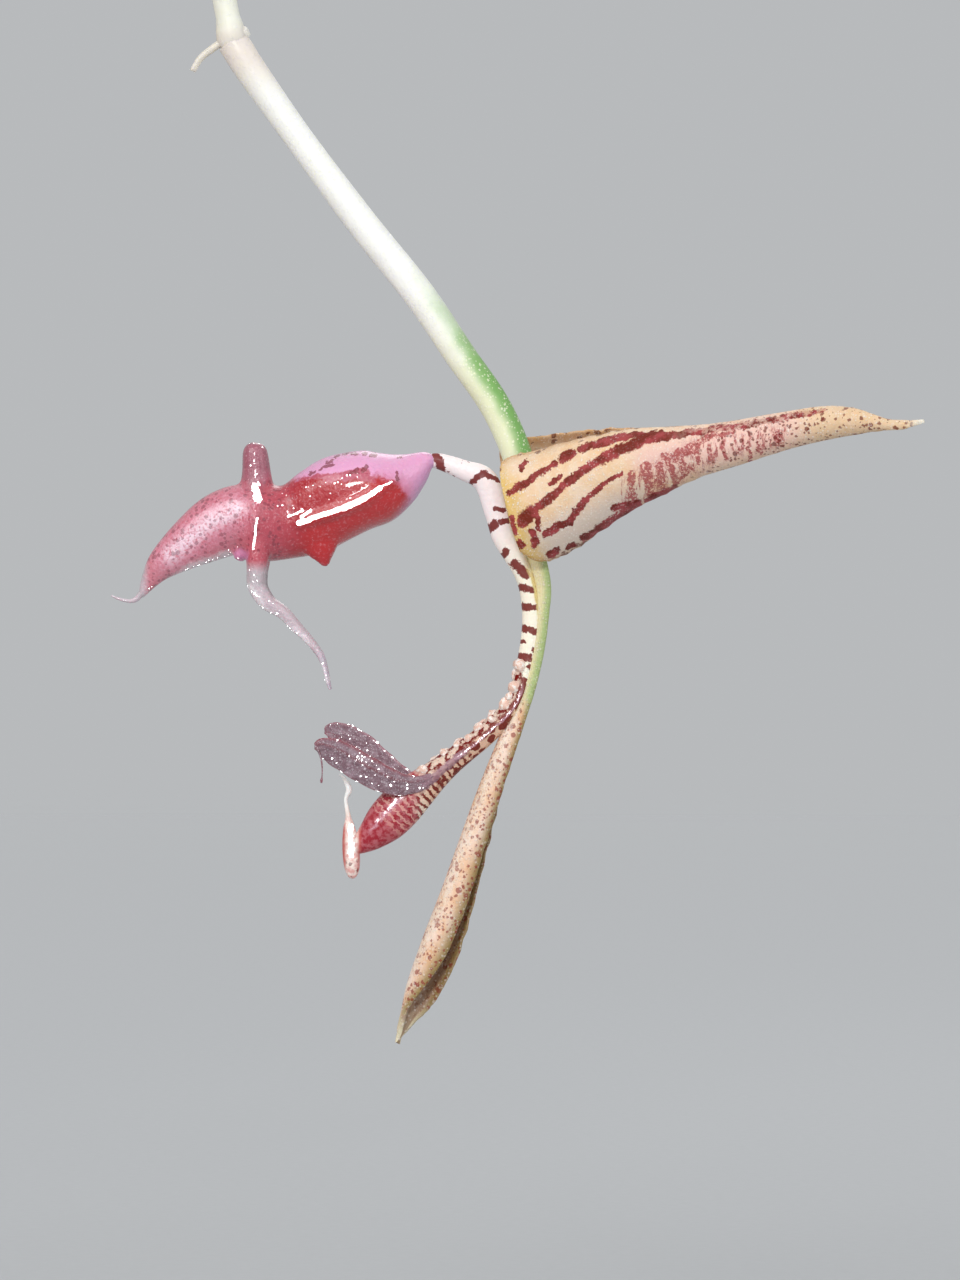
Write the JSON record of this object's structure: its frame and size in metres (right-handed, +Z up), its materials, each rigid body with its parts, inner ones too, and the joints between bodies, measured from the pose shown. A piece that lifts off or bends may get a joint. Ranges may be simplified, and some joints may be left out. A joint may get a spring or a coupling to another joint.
{
  "type": "potted gongora orchid in bloom",
  "caption": "Orchid with ribbed pseudobulbs and pleated leaves in a clay pot, its arching spray hung with upside-down blooms on long curved stalks.",
  "frame": {"origin": "centre of the underside of the pot's foot, on the surface that the pot stands on", "axes": "+Z up, +X from the pot towards the hanging spray, +Y to the left when looking along +X"},
  "size_m": [0.3073, 0.2129, 0.2906],
  "materials": {
    "clay": "unglazed, matt, slightly rough",
    "bark": "rough, dry",
    "bulb": "smooth, slightly waxy",
    "leaf": "pleated, satin",
    "stalk": "smooth, pale green to cream",
    "sepal": "satin, cream and tan with red-brown marks",
    "column": "satin, cream barred with maroon",
    "petal": "thin, sparkling, greyish purple",
    "lip": "fleshy, glossy, pink to deep red"
  },
  "bodies": {
    "root": {"pot": "clay", "bark": "bark", "flower_spray": "stalk", "pseudobulb_front": "bulb", "pseudobulb_middle": "bulb", "pseudobulb_rear": "bulb", "pseudobulb_old": "bulb", "leaf_front_left": "leaf", "leaf_front_right": "leaf", "leaf_middle_left": "leaf", "leaf_middle_right": "leaf", "leaf_rear_left": "leaf", "leaf_rear_right": "leaf", "bloom_1_stalk": "stalk", "bloom_1_lateral_sepal_left": "sepal", "bloom_1_lateral_sepal_right": "sepal", "bloom_1_dorsal_sepal": "sepal", "bloom_1_column": "column", "bloom_1_petal_left": "petal", "bloom_1_petal_right": "petal", "bloom_1_lip": "lip", "bloom_2_stalk": "stalk", "bloom_2_lateral_sepal_left": "sepal", "bloom_2_lateral_sepal_right": "sepal", "bloom_2_dorsal_sepal": "sepal", "bloom_2_column": "column", "bloom_2_petal_left": "petal", "bloom_2_petal_right": "petal", "bloom_2_lip": "lip", "bloom_3_stalk": "stalk", "bloom_3_lateral_sepal_left": "sepal", "bloom_3_lateral_sepal_right": "sepal", "bloom_3_dorsal_sepal": "sepal", "bloom_3_column": "column", "bloom_3_petal_left": "petal", "bloom_3_petal_right": "petal", "bloom_3_lip": "lip", "bloom_4_stalk": "stalk", "bloom_4_lateral_sepal_left": "sepal", "bloom_4_lateral_sepal_right": "sepal", "bloom_4_dorsal_sepal": "sepal", "bloom_4_column": "column", "bloom_4_petal_left": "petal", "bloom_4_petal_right": "petal", "bloom_4_lip": "lip", "bloom_5_stalk": "stalk", "bloom_5_lateral_sepal_left": "sepal", "bloom_5_lateral_sepal_right": "sepal", "bloom_5_dorsal_sepal": "sepal", "bloom_5_column": "column", "bloom_5_petal_left": "petal", "bloom_5_petal_right": "petal", "bloom_5_lip": "lip"}
  },
  "joints": []
}
